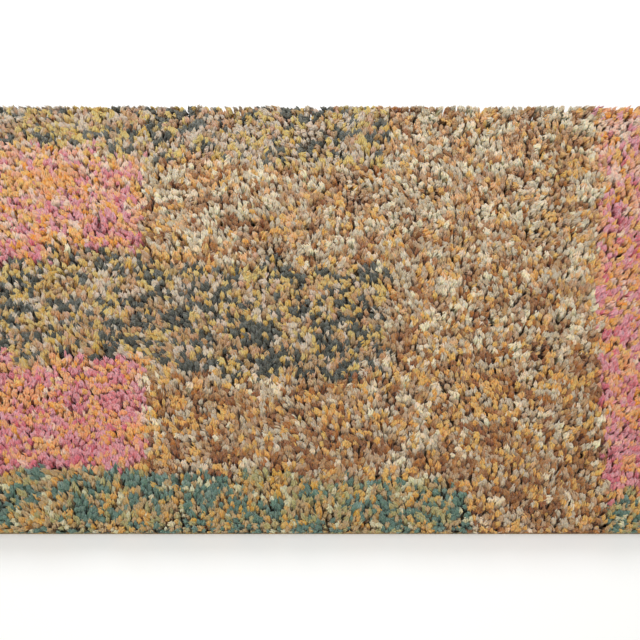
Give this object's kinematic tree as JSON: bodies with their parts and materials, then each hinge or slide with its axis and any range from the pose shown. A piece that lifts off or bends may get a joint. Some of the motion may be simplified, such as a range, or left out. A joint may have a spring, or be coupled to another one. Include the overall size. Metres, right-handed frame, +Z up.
{
  "type": "wool rug",
  "caption": "Flat cut length of hand-knotted, long-pile wool rug with plain colour blocks, lying pile up on its woven ground.",
  "frame": {"origin": "middle of the underside, on the surface that the rug lies on", "axes": "+X along the rows of knots, +Y along the warps and the way the pile leans, +Z up out of the pile"},
  "size_m": [0.5912, 0.3766, 0.0296],
  "materials": {
    "brown_pile": "matt wool yarn in mixed browns, gold and ivory, cut pile",
    "slate_pile": "matt wool yarn in slate blue, mustard and beige, cut pile",
    "teal_pile": "matt wool yarn in teal, orange and sage, cut pile",
    "pink_pile": "matt wool yarn in pink, orange and salmon, cut pile",
    "ground_weave": "matt undyed wool warps and wefts"
  },
  "bodies": {
    "root": {"wool_rug": "brown_pile"}
  },
  "joints": []
}
